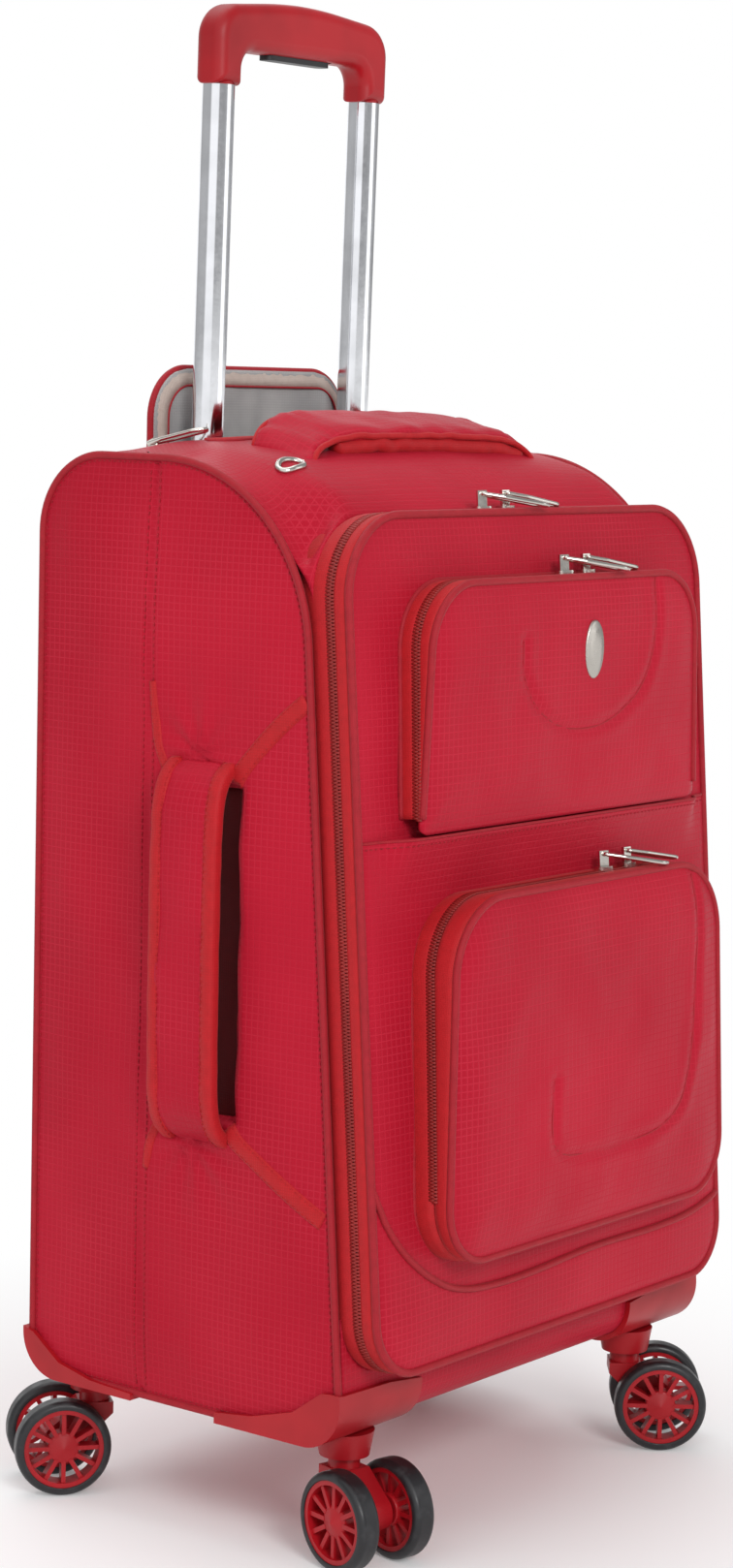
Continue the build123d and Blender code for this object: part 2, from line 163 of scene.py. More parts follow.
def ripstop(name, colour, light, thread_colour):
    """Shiny ripstop cloth: small squares in a paler grid, with a slight change of shade over a wide area."""
    nodes = Nodes(name, colour, 0.46)
    grid = nodes.lines(GRID_PITCH, 0.13)
    thread = nodes.lines(GRID_PITCH / 4, 0.3)
    shade = nodes.noise(9.0, 2.0)
    cloth = nodes.mix(nodes.range(shade, 0.35, 0.7), colour, light)
    patchy = nodes.range(nodes.noise(14.0, 2.0), 0.30, 0.70, 0.12, 0.42)
    cloth = nodes.mix(nodes.math("MULTIPLY", grid, patchy), cloth, thread_colour)
    cloth = nodes.mix(nodes.math("MULTIPLY", thread, 0.10), cloth, thread_colour)
    nodes.look(cloth, Roughness=nodes.range(grid, 0.0, 1.0, 0.40, 0.58), Sheen_Weight=0.03,
               Sheen_Roughness=0.4, Sheen_Tint=(1.0, 0.20, 0.30, 1.0), Specular_IOR_Level=0.17,
               Specular_Tint=(1.0, 0.25, 0.36, 1.0))
    height = nodes.math("SUBTRACT", nodes.math("MULTIPLY", thread, -0.25), nodes.math("MULTIPLY", grid, 0.9))
    nodes.bump(height, 0.35, 0.0003)
    return nodes.material


def webbing(name, colour, dark, pitch=0.0011):
    """Woven tape: fine ribs and a faint mottle."""
    nodes = Nodes(name, colour, 0.6)
    rib = nodes.lines(pitch, 0.32)
    mottle = nodes.noise(260.0, 3.0)
    cloth = nodes.mix(nodes.math("MULTIPLY", rib, 0.30), colour, dark)
    cloth = nodes.mix(nodes.range(mottle, 0.3, 0.75, 0.0, 0.35), cloth, dark)
    nodes.look(cloth, Sheen_Weight=0.12, Sheen_Tint=(1.0, 0.4, 0.4, 1.0), Specular_IOR_Level=0.25)
    nodes.bump(nodes.math("SUBTRACT", mottle, rib), 0.4, 0.0002)
    return nodes.material


def lining_cloth():
    """Grey lining: a fine plain weave with soft shade changes."""
    nodes = Nodes("lining_cloth", (0.36, 0.36, 0.36), 0.75)
    weave = nodes.lines(0.0014, 0.3)
    shade = nodes.noise(30.0, 3.0)
    cloth = nodes.mix(nodes.range(shade, 0.3, 0.7), (0.30, 0.30, 0.30), (0.44, 0.43, 0.42))
    cloth = nodes.mix(nodes.math("MULTIPLY", weave, 0.2), cloth, (0.16, 0.16, 0.16))
    nodes.look(cloth)
    nodes.bump(weave, 0.3, 0.0002)
    return nodes.material


def moulded(name, colour, roughness=0.32, grain=0.15):
    """Moulded plastic: fine grain, slight shade change and softened gloss."""
    nodes = Nodes(name, colour, roughness)
    fine = nodes.noise(900.0, 2.0)
    broad = nodes.noise(22.0, 3.0)
    darker = tuple(value * 0.72 for value in colour)
    nodes.look(nodes.mix(nodes.range(broad, 0.35, 0.7), colour, darker), Specular_IOR_Level=0.32,
               Roughness=nodes.range(broad, 0.3, 0.7, roughness - 0.05, roughness + 0.1))
    nodes.bump(fine, grain, 0.0001)
    return nodes.material


def rubber():
    """Polyurethane tyre: near black, with light scuffs."""
    nodes = Nodes("tyre_rubber", (0.012, 0.012, 0.014), 0.42)
    scuff = nodes.noise(160.0, 4.0)
    nodes.look(nodes.mix(nodes.range(scuff, 0.55, 0.8), (0.010, 0.010, 0.012), (0.035, 0.035, 0.038)),
               Roughness=nodes.range(scuff, 0.4, 0.7, 0.36, 0.55))
    nodes.bump(scuff, 0.1, 0.0002)
    return nodes.material


def metal(name, colour, roughness, brushed=0.0):
    """Plated or brushed metal with faint marks."""
    nodes = Nodes(name, colour, roughness)
    marks = nodes.noise(420.0, 4.0)
    broad = nodes.noise(40.0, 2.0)
    darker = tuple(value * 0.8 for value in colour)
    nodes.look(nodes.mix(nodes.range(broad, 0.4, 0.7), colour, darker), Metallic=1.0,
               Roughness=nodes.range(marks, 0.3, 0.7, roughness * 0.8, roughness * 1.3))
    nodes.bump(marks, 0.05 + brushed, 0.0001)
    return nodes.material


def studio_paint():
    """Pale, faintly uneven floor that turns into the white backdrop away from the case."""
    nodes = Nodes("studio_floor", (0.9, 0.9, 0.9), 0.9)
    broad = nodes.noise(1.5, 2.0)
    nodes.look(nodes.mix(broad, (0.90, 0.90, 0.90), (0.93, 0.93, 0.93)), Specular_IOR_Level=0.1)
    new = nodes.tree.nodes.new
    length = new("ShaderNodeVectorMath")
    length.operation = "LENGTH"
    nodes.set(length, 0, new("ShaderNodeNewGeometry").outputs["Position"])
    glow = new("ShaderNodeEmission")
    glow.inputs["Color"].default_value = (1.0, 1.0, 1.0, 1.0)
    blend = new("ShaderNodeMixShader")
    away = nodes.range(length.outputs["Value"], 0.10, 0.48)
    for index, part in enumerate((away, nodes.shader.outputs["BSDF"], glow.outputs["Emission"])):
        nodes.set(blend, index, part)
    out = next(node for node in nodes.tree.nodes if node.type == "OUTPUT_MATERIAL")
    nodes.set(out, "Surface", blend.outputs["Shader"])
    return nodes.material


SHELL = ripstop("shell_ripstop", (0.36, 0.006, 0.019), (0.44, 0.010, 0.027), (0.58, 0.034, 0.062))
PIPING = webbing("piping_cloth", (0.40, 0.010, 0.022), (0.19, 0.004, 0.008), 0.0008)
TAPE = webbing("zip_tape", (0.50, 0.009, 0.015), (0.28, 0.005, 0.007), 0.0010)
BINDING = webbing("red_binding", (0.50, 0.008, 0.014), (0.28, 0.004, 0.007), 0.0013)
TEETH = moulded("zip_coil", (0.30, 0.020, 0.018), 0.40)
# near-black cloth: painted shade for the finger recess under the side handle
SHADOW_CLOTH = webbing("recess_painted_shade_cloth", (0.09, 0.002, 0.004), (0.04, 0.001, 0.002), 0.0013)
TRIM_TAPE = webbing("raw_tape_edge", (0.50, 0.43, 0.38), (0.36, 0.28, 0.24), 0.0009)
LINING = lining_cloth()
RED_PLASTIC = moulded("red_plastic", (0.40, 0.007, 0.013), 0.34)
BLACK_PLASTIC = moulded("black_plastic", (0.02, 0.02, 0.022), 0.45)
TYRE = rubber()
CHROME = metal("chrome_tube", (0.82, 0.83, 0.86), 0.10)
ZIP_METAL = metal("zip_plating", (0.66, 0.63, 0.58), 0.20)
BADGE_METAL = metal("badge_metal", (0.50, 0.47, 0.43), 0.30, 0.1)
STEEL = metal("inner_steel", (0.45, 0.45, 0.46), 0.35, 0.1)


# ---------------------------------------------------------------- outlines
def rounded(points, radii, step=4.0, closed=True):
    """A polygon with rounded corners, sampled about every step, as an array of 2-D points."""
    count = len(points)
    found = []
    for index in range(count):
        corner = np.array(points[index], float)
        if not closed and index in (0, count - 1):
            found.append(corner)
            continue
        before = np.array(points[index - 1], float) - corner
        after = np.array(points[(index + 1) % count], float) - corner
        before /= np.linalg.norm(before)
        after /= np.linalg.norm(after)
        inner = math.acos(np.clip(before @ after, -1, 1))
        radius = max(radii[index], 0.05)
        reach = radius / math.tan(inner / 2)
        middle = before + after
        middle /= np.linalg.norm(middle)
        centre = corner + middle * radius / math.sin(inner / 2)
        start = corner + before * reach - centre
        turn = math.pi - inner
        pieces = max(3, int(math.ceil(radius * turn / min(step, radius * 0.35 + 0.5))))
        side = 1.0 if after[0] * before[1] - after[1] * before[0] > 0 else -1.0
        for part in range(pieces + 1):
            angle = side * turn * part / pieces
            cos, sin = math.cos(angle), math.sin(angle)
            found.append(centre + (start[0] * cos - start[1] * sin, start[0] * sin + start[1] * cos))
    return resample(np.array(found), step, closed)


def resample(path, step, closed):
    """Adds points along the long straight runs of a path, keeping those it has."""
    found = []
    count = len(path)
    for index in range(count if closed else count - 1):
        a = path[index]
        b = path[(index + 1) % count]
        gap = np.linalg.norm(b - a)
        if gap < 1e-6:
            continue
        pieces = max(1, int(round(gap / step)))
        for part in range(pieces):
            found.append(a + (b - a) * part / pieces)
    if not closed:
        found.append(path[-1])
    return np.array(found)


def even(path, step, closed=False):
    """A path resampled evenly along its length."""
    points = np.vstack([path, path[:1]]) if closed else np.asarray(path, float)
    lengths = np.concatenate([[0.0], np.cumsum(np.linalg.norm(np.diff(points, axis=0), axis=1))])
    count = max(2, int(round(lengths[-1] / step)))
    places = np.linspace(0, lengths[-1], count + 1)
    if closed:
        places = places[:-1]
    return np.stack([np.interp(places, lengths, points[:, axis]) for axis in range(points.shape[1])], axis=1)


def smooth_path(points, step=3.0):
    """A Catmull-Rom curve through given points, evenly resampled."""
    points = np.array(points, float)
    ends = np.vstack([2 * points[0] - points[1], points, 2 * points[-1] - points[-2]])
    found = []
    for index in range(1, len(ends) - 2):
        p0, p1, p2, p3 = ends[index - 1:index + 3]
        for t in np.linspace(0, 1, 12, endpoint=False):
            found.append(0.5 * (2 * p1 + (p2 - p0) * t + (2 * p0 - 5 * p1 + 4 * p2 - p3) * t * t
                                + (3 * p1 - p0 - 3 * p2 + p3) * t ** 3))
    found.append(points[-1])
    return even(np.array(found), step)


def directions(path, closed):
    """Unit directions along a path."""
    along = np.roll(path, -1, axis=0) - np.roll(path, 1, axis=0) if closed else np.gradient(path, axis=0)
    return along / np.linalg.norm(along, axis=1)[:, None]


def normals_2d(path, closed=True):
    """Unit normals of a 2-D path that point out of an anticlockwise loop."""
    along = directions(path, closed)
    return np.stack([along[:, 1], -along[:, 0]], axis=1)


def lid_loop(step=4.0):
    half = LID_HALF_W
    points = [(-half, LID_BOTTOM), (half, LID_BOTTOM), (half, LID_TOP), (-half, LID_TOP)]
    return rounded(points, (LID_BOTTOM_R, LID_BOTTOM_R, LID_TOP_R, LID_TOP_R), step)


def pocket_loop(pocket, step=4.0):
    wide, narrow, low, high = (pocket[key] for key in ("bottom_w", "top_w", "bottom", "top"))
    radii = (pocket["bottom_r"], pocket["bottom_r"], pocket["top_r"], pocket["top_r"])
    return rounded([(-wide, low), (wide, low), (narrow, high), (-narrow, high)], radii, step)


def profile_loop(step=4.0):
    """The case's side outline as (y, z), anticlockwise seen from +X."""
    return rounded(PROFILE, PROFILE_R, step)


def path_distance(points, path):
    """Distance of each 2-D point to an open path."""
    best = np.full(len(points), 1e9)
    for start, end in zip(path[:-1], path[1:]):
        run = end - start
        t = np.clip(((points - start) @ run) / max(run @ run, 1e-9), 0, 1)
        best = np.minimum(best, np.linalg.norm(points - start - t[:, None] * run, axis=1))
    return best


def edge_distance(points, loop):
    """Distance of each 2-D point to a closed loop."""
    return path_distance(points, np.vstack([loop, loop[:1]]))


# ---------------------------------------------------------------- places
def front(x, w, o):
    """Front axes, x across, w up the lid, o outwards, to the frame's millimetres."""
    x, w, o = (np.asarray(value, float) for value in (x, w, o))
    cos, sin = math.cos(FRONT_TILT), math.sin(FRONT_TILT)
    return spots_at(x, RIM_Y - o * cos + w * sin, RIM_Z + o * sin + w * cos)


def spots_at(x, y, z):
    """Points of the frame from numbers or arrays of them."""
    return np.stack(np.broadcast_arrays(x, y, z), axis=-1)


def on_front(points, depth):
    return front(points[..., 0], points[..., 1], depth)


def on_side(sign):
    def place(points, depth):
        return spots_at(sign * depth, points[..., 0], points[..., 1])
    return place


def pocket_front(pocket, w):
    """Depth of a pocket's front edge at height w."""
    share = (np.asarray(w, float) - pocket["bottom"]) / (pocket["top"] - pocket["bottom"])
    return LID_O + pocket["front_bottom"] + share * (pocket["front_top"] - pocket["front_bottom"])


def wobble(points, size, amount, seed=0.0):
    """Smooth, repeatable unevenness over an array of 2-D or 3-D points."""
    flat = points.reshape(-1, points.shape[-1]) / size
    if flat.shape[1] == 2:
        flat = np.column_stack([flat, np.zeros(len(flat))])
    found = [noise.noise(Vector(p)) for p in flat + (seed, -seed, seed)]
    return (np.array(found) * amount).reshape(points.shape[:-1])


def smoothstep(value, low, high):
    t = np.clip((np.asarray(value, float) - low) / (high - low), 0, 1)
    return t * t * (3 - 2 * t)


# ---------------------------------------------------------------- meshes
def new_object(name, data):
    obj = bpy.data.objects.new(name, data)
    bpy.context.scene.collection.objects.link(obj)
    return obj


def piece(name, body, verts, faces, materials, cad=()):
    """A mesh object in metres, riding on a body, standing for CAD nodes where it replaces them."""
    mesh = bpy.data.meshes.new(name)
    mesh.from_pydata([tuple(v * MM) for v in np.asarray(verts, float).reshape(-1, 3)], [], faces)
    for material in materials:
        mesh.materials.append(material)
    mesh.polygons.foreach_set("use_smooth", [True] * len(mesh.polygons))
    mesh.validate()
    mesh.update()
    obj = new_object(name, mesh)
    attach(obj, body)
    if cad:
        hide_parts(*cad)
    return obj


@contextmanager
def edited(obj):
    """The object's mesh as a bmesh, written back afterwards."""
    shape = bmesh.new()
    shape.from_mesh(obj.data)
    yield shape
    shape.to_mesh(obj.data)
    shape.free()
    obj.data.update()


def apply(obj, kind, **settings):
    """Adds a modifier and applies it."""
    modifier = obj.modifiers.new(kind.lower(), kind)
    for key, value in settings.items():
        setattr(modifier, key, value)
    bpy.context.view_layer.objects.active = obj
    with bpy.context.temp_override(object=obj, active_object=obj, selected_objects=[obj]):
        bpy.ops.object.modifier_apply(modifier=modifier.name)


def solidify(obj, thickness=CLOTH_THICK, lined=True):
    """Gives a panel its thickness, with the lining as its inner face."""
    apply(obj, "SOLIDIFY", thickness=thickness * MM, offset=-1.0, material_offset=1 if lined else 0,
          use_even_offset=False)


def grid_faces(rows, columns, closed_rows=False, closed_columns=False, first=0):
    faces = []
    for row in range(rows if closed_rows else rows - 1):
        for column in range(columns if closed_columns else columns - 1):
            a = first + row * columns + column
            b = first + row * columns + (column + 1) % columns
            c = first + ((row + 1) % rows) * columns + (column + 1) % columns
            d = first + ((row + 1) % rows) * columns + column
            faces.append((a, b, c, d))
    return faces


def bar_faces(first):
    """Faces of a short bar through three rings of four points."""
    return grid_faces(3, 4, closed_columns=True, first=first) + [
        (first + 3, first + 2, first + 1, first), (first + 8, first + 9, first + 10, first + 11)]


def loft(name, body, sections, materials, closed=False, cad=()):
    """A closed skin through sections of equal length, each a closed ring. Open ends get caps."""
    sections = np.asarray(sections, float)
    rows, columns = sections.shape[:2]
    faces = grid_faces(rows, columns, closed_rows=closed, closed_columns=True)
    if not closed:
        faces.append(tuple(range(columns))[::-1])
        faces.append(tuple((rows - 1) * columns + column for column in range(columns)))
    obj = piece(name, body, sections.reshape(-1, 3), faces, materials, cad)
    fix_normals(obj)
    return obj


def trim(name, body, sections, material, closed=False, cad=()):
    """A lofted strip or cord of trim cloth."""
    loft(name, body, sections, [material], closed, cad)


def fix_normals(obj):
    """Turns every face of a closed mesh outwards."""
    with edited(obj) as shape:
        bmesh.ops.recalc_face_normals(shape, faces=shape.faces)


def along_outline(path, place, profile, closed=True):
    """Sections of a closed profile carried along a 2-D path. Its points are (out of the outline, depth)."""
    out = normals_2d(path, closed)
    sections = []
    for index, point in enumerate(path):
        ring = profile(point) if callable(profile) else profile
        spots = np.array([point + out[index] * a for a, _ in ring])
        depths = np.array([b for _, b in ring])
        sections.append(place(spots, depths))
    return np.array(sections)


def circle_profile(out, depth, radius, sides=8):
    """A round cord's section, centred at out and depth. depth may depend on the path's point."""
    def ring(point):
        middle = depth(point) if callable(depth) else depth
        turns = [2 * math.pi * side / sides for side in range(sides)]
        return [(out + radius * math.cos(turn), middle + radius * math.sin(turn)) for turn in turns]
    return ring


def tube(name, body, path, radius, material, closed=False, sides=10, cad=()):
    """A round cord along a 3-D path in millimetres."""
    path = np.asarray(path, float)
    along = directions(path, closed)
    normal = np.cross(along[0], (0.3, 0.2, 1.0))
    normal /= np.linalg.norm(normal)
    sections = []
    for point, direction in zip(path, along):
        normal = normal - direction * (normal @ direction)
        normal /= np.linalg.norm(normal)
        other = np.cross(direction, normal)
        turns = np.linspace(0, 2 * math.pi, sides, endpoint=False)
        sections.append([point + radius * (math.cos(t) * normal + math.sin(t) * other) for t in turns])
    loft(name, body, sections, [material], closed, cad)


def cord(name, body, path, radius, material, sides=10):
    """A round cord of trim cloth."""
    tube(name, body, path, radius, material, sides=sides)


def edging(name, body, path, place, profile, material, closed=True, cad=()):
    """Trim cloth with one section carried along an outline."""
    trim(name, body, along_outline(path, place, profile, closed), material, closed, cad)


def scan_rows(loop, step):
    """Heights for a panel's rows: even steps, with the outline's own heights where it curves."""
    low, high = loop[:, 1].min(), loop[:, 1].max()
    heights = sorted([*np.arange(low, high, step), *loop[:, 1], high])
    kept = [heights[0]]
    for height in heights[1:]:
        if height - kept[-1] > 1.2:
            kept.append(height)
    kept[-1] = high
    return np.array(kept)


def scan_limits(loop, heights):
    """The outline's lowest and highest first coordinate at each height."""
    limits = []
    for height in heights:
        found = []
        for start, end in zip(loop, np.roll(loop, -1, axis=0)):
            low, high = min(start[1], end[1]), max(start[1], end[1])
            if low - 1e-6 <= height <= high + 1e-6:
                if high - low < 1e-6:
                    found += [start[0], end[0]]
                else:
                    found.append(start[0] + (end[0] - start[0]) * (height - start[1]) / (end[1] - start[1]))
        limits.append((min(found), max(found)))
    return np.array(limits)


def panel(name, body, loop, place, depth, materials, columns=60, step=4.0, thickness=CLOTH_THICK,
          rows=None, cad=(), lined=True):
    """A padded panel inside an outline. depth(points, edge distance) shapes its outer face."""
    heights = scan_rows(loop, step) if rows is None else rows
    limits = scan_limits(loop, heights)
    share = np.linspace(0, 1, columns)
    points = np.stack([
        limits[:, :1] + (limits[:, 1:] - limits[:, :1]) * share[None, :],
        np.repeat(heights[:, None], columns, axis=1)], axis=-1)
    flat = points.reshape(-1, 2)
    outer = place(flat, depth(flat, edge_distance(flat, loop)))
    obj = piece(name, body, outer, grid_faces(len(heights), columns), materials, cad)
    weld(obj)
    face_towards(obj, place(flat[:1], 10.0)[0] - place(flat[:1], 0.0)[0])
    solidify(obj, thickness, lined)


def weld(obj):
    with edited(obj) as shape:
        bmesh.ops.remove_doubles(shape, verts=shape.verts, dist=0.02 * MM)
        bmesh.ops.dissolve_degenerate(shape, edges=shape.edges, dist=1e-6)


def face_towards(obj, direction):
    """Turns an open panel's faces to look along a direction."""
    total = sum((Vector(p.normal) * p.area for p in obj.data.polygons), Vector())
    if total.dot(Vector(direction)) < 0:
        obj.data.flip_normals()


def stitches(name, body, path3, out3, material, pitch=3.4, length=2.2, radius=0.28):
    """A row of short thread stitches along a 3-D path, proud of the cloth towards out3."""
    path3 = np.asarray(path3, float)
    out3 = np.broadcast_to(out3, path3.shape)
    lengths = np.concatenate([[0.0], np.cumsum(np.linalg.norm(np.diff(path3, axis=0), axis=1))])
    verts = []
    faces = []
    place = pitch / 2
    while place + length < lengths[-1]:
        ends = []
        for spot in (place, place + length / 2, place + length):
            point = np.array([np.interp(spot, lengths, path3[:, axis]) for axis in range(3)])
            lift = np.array([np.interp(spot, lengths, out3[:, axis]) for axis in range(3)])
            ends.append((point, lift / np.linalg.norm(lift)))
        direction = ends[2][0] - ends[0][0]
        direction /= np.linalg.norm(direction)
        side = np.cross(direction, ends[1][1])
        rings = []
        for (point, lift), rise in zip(ends, (-radius, radius * 0.7, -radius)):
            middle = point + lift * rise
            rings.append([middle + side * radius, middle + lift * radius,
                          middle - side * radius, middle - lift * radius])
        first = len(verts)
        verts += [corner for ring in rings for corner in ring]
        faces += bar_faces(first)
        place += pitch
    piece(name, body, verts, faces, [material])


def teeth(name, body, path, split, side, closed=False):
    """One half of a coil zip: a row of rounded teeth on one side of the split."""
    path = even(path, TOOTH_PITCH, closed)
    out = normals_2d(path, closed)
    along = directions(path, closed)
    shift = 0.25 * TOOTH_PITCH * side
    section = [(-0.5, 0.0), (-0.32, 0.85), (0.32, 0.85), (0.5, 0.0)]
    verts = []
    faces = []
    for point, normal, direction in zip(path, out, along):
        middle = point + direction * shift
        first = len(verts)
        for reach, rise in ((-0.7, 0.55), (0.6, 1.0), (2.6, 0.75)):
            spots = np.array([middle + direction * (a * TOOTH_PITCH * 0.8) + normal * (b * rise + 0.1)
                              for a, b in section])
            verts += list(on_front(spots, np.full(4, split + side * reach)))
        faces += bar_faces(first)
    fix_normals(piece(name, body, verts, faces, [TEETH]))


# ---------------------------------------------------------------- case
RECESS_Y = (-35.0, 8.0)
RECESS_Z = (217.0, 384.0)
RECESS_DEPTH = 7.0
SIDE_SEAM_Y = 23.0
LEFT = (-1.0, 0.0, 0.0)


def side_depth(sign):
    def depth(points, gap):
        y, z = points[:, 0], points[:, 1]
        rise = 3.6 * (1 - np.exp(-gap / 26.0))
        seam = -1.4 * np.exp(-((y - SIDE_SEAM_Y) / 1.3) ** 2) * smoothstep(gap, 0.0, 3.0)
        puff = 0.7 * np.exp(-(np.abs(y - SIDE_SEAM_Y) / 7.0)) * smoothstep(gap, 0.0, 10.0)
        waves = wobble(points, 55.0, 1.3, 3.0 * sign) + wobble(points, 18.0, 0.35, 9.0 * sign)
        pull = np.zeros_like(y)
        sunk = np.zeros_like(y)
        if sign < 0:
            for z_end, way in ((398.0, 1.0), (203.0, -1.0)):
                away = np.hypot(y + 10.0, (z - z_end) * 0.8)
                angle = np.arctan2((z - z_end) * way, y + 10.0)
                pull += 1.1 * np.sin(angle * 8.0 + 0.6) * np.exp(-(away / 26.0) ** 2)
            inside = (smoothstep(y, RECESS_Y[0] - 2.0, RECESS_Y[0] + 1.0)
                      * smoothstep(y, RECESS_Y[1] + 2.0, RECESS_Y[1] - 1.0)
                      * smoothstep(z, RECESS_Z[0] - 2.0, RECESS_Z[0] + 1.5)
                      * smoothstep(z, RECESS_Z[1] + 2.0, RECESS_Z[1] - 1.5))
            sunk = RECESS_DEPTH * inside
        return BODY_HALF_W - 0.9 + rise + (seam + puff + (waves + pull) * smoothstep(gap, 2.0, 22.0)) - sunk
    return depth


def side_height(sign, spots):
    """How far a side panel's face stands out at points (y, z)."""
    return side_depth(sign)(spots, edge_distance(spots, profile_loop(4.0)))


def side_strip(name, points, half_w, height=0.9):
    """A flat tape sewn on the left panel along a curve of (y, z)."""
    path = smooth_path(points, 2.2)
    out = normals_2d(path, closed=False)
    place = on_side(-1)
    offsets = np.linspace(-half_w, half_w, 7)
    sections = []
    for point, normal in zip(path, out):
        spots = point + normal * offsets[:, None]
        lift = side_height(-1, spots)
        upper = place(spots, lift + 0.15 + height * (1 - (offsets / half_w) ** 4))
        sections.append(np.vstack([upper, place(spots[::-1], lift[::-1] - 0.8)]))
    trim(name, "case", sections, BINDING)
    for side, edge in ((-1, "back"), (1, "front")):
        spots = path + out * side * (half_w - 1.2)
        row = place(spots, side_height(-1, spots) + height * 0.9)
        stitches(f"{name}_stitches_{edge}", "case", row, LEFT, BINDING)


def make_side_details():
    """Sewn tapes from the left handle's ends to the front, its finger recess lined with a near-black sheet of
    painted shade, and both panels' seams.
    """
    side_strip("side_tape_upper", [(-33, 386), (-38, 393), (-48, 404.5), (-61, 417), (-75, 428.5)], 4.6)
    side_strip("side_tape_lower", [(-33, 214), (-40, 207), (-54, 198), (-72, 187), (-92, 176)], 4.6)
    side_strip("side_tape_tab", [(21, 432), (19, 415), (16, 400), (12, 390)], 2.6, 0.6)
    side_strip("side_tape_tab_low", [(12, 212), (17, 200), (21, 186)], 2.6, 0.6)
    (ahead, back), (low, high) = RECESS_Y, RECESS_Z
    pocket = rounded([(ahead + 1, low + 1), (back - 1, low + 1), (back - 1, high - 1), (ahead + 1, high - 1)],
                     [4, 4, 4, 4], 3.0)
    # near-black sheet on the recess floor: painted shade under the side handle's strap
    panel("side_handle_recess_painted_shade", "case", pocket, on_side(-1),
          lambda points, _: side_height(-1, points) + 0.4, [SHADOW_CLOTH], columns=16, thickness=0.8,
          lined=False)
    for sign, name in ((-1, "left"), (1, "right")):
        for shift, edge in ((-3.2, "front"), (3.2, "back")):
            seam = np.stack([np.full(150, SIDE_SEAM_Y + shift), np.linspace(70.0, 538.0, 150)], axis=1)
            stitches(f"side_seam_stitches_{name}_{edge}", "case",
                     on_side(sign)(seam, side_height(sign, seam) + 0.1), (float(sign), 0.0, 0.0), PIPING)


def make_sides():
    """Both side panels, each with piping round it and a row of stitches inside the piping."""
    loop = profile_loop(3.5)
    for name, sign in (("left", -1), ("right", 1)):
        place = on_side(sign)
        panel(f"side_{name}", "case", loop, place, side_depth(sign), [SHELL, LINING],
              columns=56, step=3.6, thickness=2.6, cad=[f"side_panel_{name}"])
        profile = circle_profile(-0.4, BODY_HALF_W - 0.6, PIPING_R)
        edging(f"side_piping_{name}", "case", loop, place, profile, PIPING)
        edge = even(loop, 3.0, closed=True)
        inner = edge - normals_2d(edge) * 3.4
        lift = side_depth(sign)(inner, np.full(len(inner), 3.4))
        stitches(f"side_stitches_{name}", "case", place(inner, lift + 0.1), (float(sign), 0.0, 0.0), PIPING)


def outline_w(x, top=True):
    """Height of the lid's outline at x."""
    radius = LID_TOP_R if top else LID_BOTTOM_R
    past = np.clip(np.abs(x) - (LID_HALF_W - radius), 0, radius)
    drop = radius - np.sqrt(np.maximum(radius ** 2 - past ** 2, 0.0))
    return LID_TOP - drop if top else LID_BOTTOM + drop


def band_columns(count=64):
    """Places across the case, closer together near both ends."""
    turn = np.linspace(-1, 1, count)
    return PANEL_X * np.sign(turn) * (1 - (1 - np.abs(turn)) ** 1.5)


def profile_part(start, end, step):
    """The stretch of the side outline between two points of it, going anticlockwise, as (y, z)."""
    loop = profile_loop(step)
    first = np.argmin(np.linalg.norm(loop - start, axis=1))
    loop = np.roll(loop, -first, axis=0)
    last = np.argmin(np.linalg.norm(loop - end, axis=1))
    return loop[:last + 1]


def crown(x):
    return 1 - np.exp(-(PANEL_X - np.abs(x)) / 30.0)


def band_panel(name, grid, cad, towards):
    """A lined panel given as a grid of points, facing a direction. The roof opens over the trolley cup."""
    obj = piece(name, "case", grid, grid_faces(*grid.shape[:2]), [SHELL, LINING], cad)
    weld(obj)
    face_towards(obj, towards)
    if name == "roof":
        cut_recess(obj)
    solidify(obj)


def roof_crown(x, y):
    """How far the roof's middle stands above its sides."""
    return ROOF_CROWN * (1 - np.abs(x / PANEL_X) ** 2.6) * smoothstep(y, 104.0, 55.0)


def make_roof():
    """Roof from the back seam, over the top and down the brow to the zip tape above the lid. It is crowned
    across the case and follows the side panels at both edges."""
    back = profile_part((BODY_BACK, BACK_SEAM_Z), (ROOF_FRONT_Y, BODY_TOP), 4.0)
    columns = band_columns(72)
    rows = [spots_at(columns, y, z + roof_crown(columns, y)) for y, z in back]
    ends_w = outline_w(columns)
    ends = front(columns, ends_w, 0.5)
    drop = (LID_TOP - ends_w) / LID_TOP_R
    start = rows[-1]
    handle = start + spots_at(0 * columns, -42.0 - 8.0 * drop, 0.0)
    pull = ends + spots_at(0 * columns, 17.0 - 14.5 * drop, 19.0 + 15.0 * drop)
    steps = 24
    corner = profile_part(start[0, 1:], ends[0, 1:], 1.0)
    run = np.concatenate([[0.0], np.cumsum(np.linalg.norm(np.diff(corner, axis=0), axis=1))])
    weight = smoothstep(np.abs(columns), PANEL_X - 34.0, PANEL_X - 2.0)[:, None]
    for part in range(1, steps + 1):
        t = part / steps
        row = (1 - t) ** 3 * start + t ** 3 * ends + 3 * (1 - t) * t * ((1 - t) * handle + t * pull)
        y, z = (np.interp(run[-1] * t, run, corner[:, axis]) for axis in (0, 1))
        rows.append(row + (spots_at(columns, y, z) - row) * weight * smoothstep(part, steps, steps - 5))
    grid = np.array(rows)
    inside = smoothstep(np.abs(grid[..., 0]), PANEL_X, PANEL_X - 25.0)
    grid[..., 2] += wobble(grid, 42.0, 1.1, 4.0) * inside
    band_panel("roof", grid, ["top_panel"], (0, 0, 1))


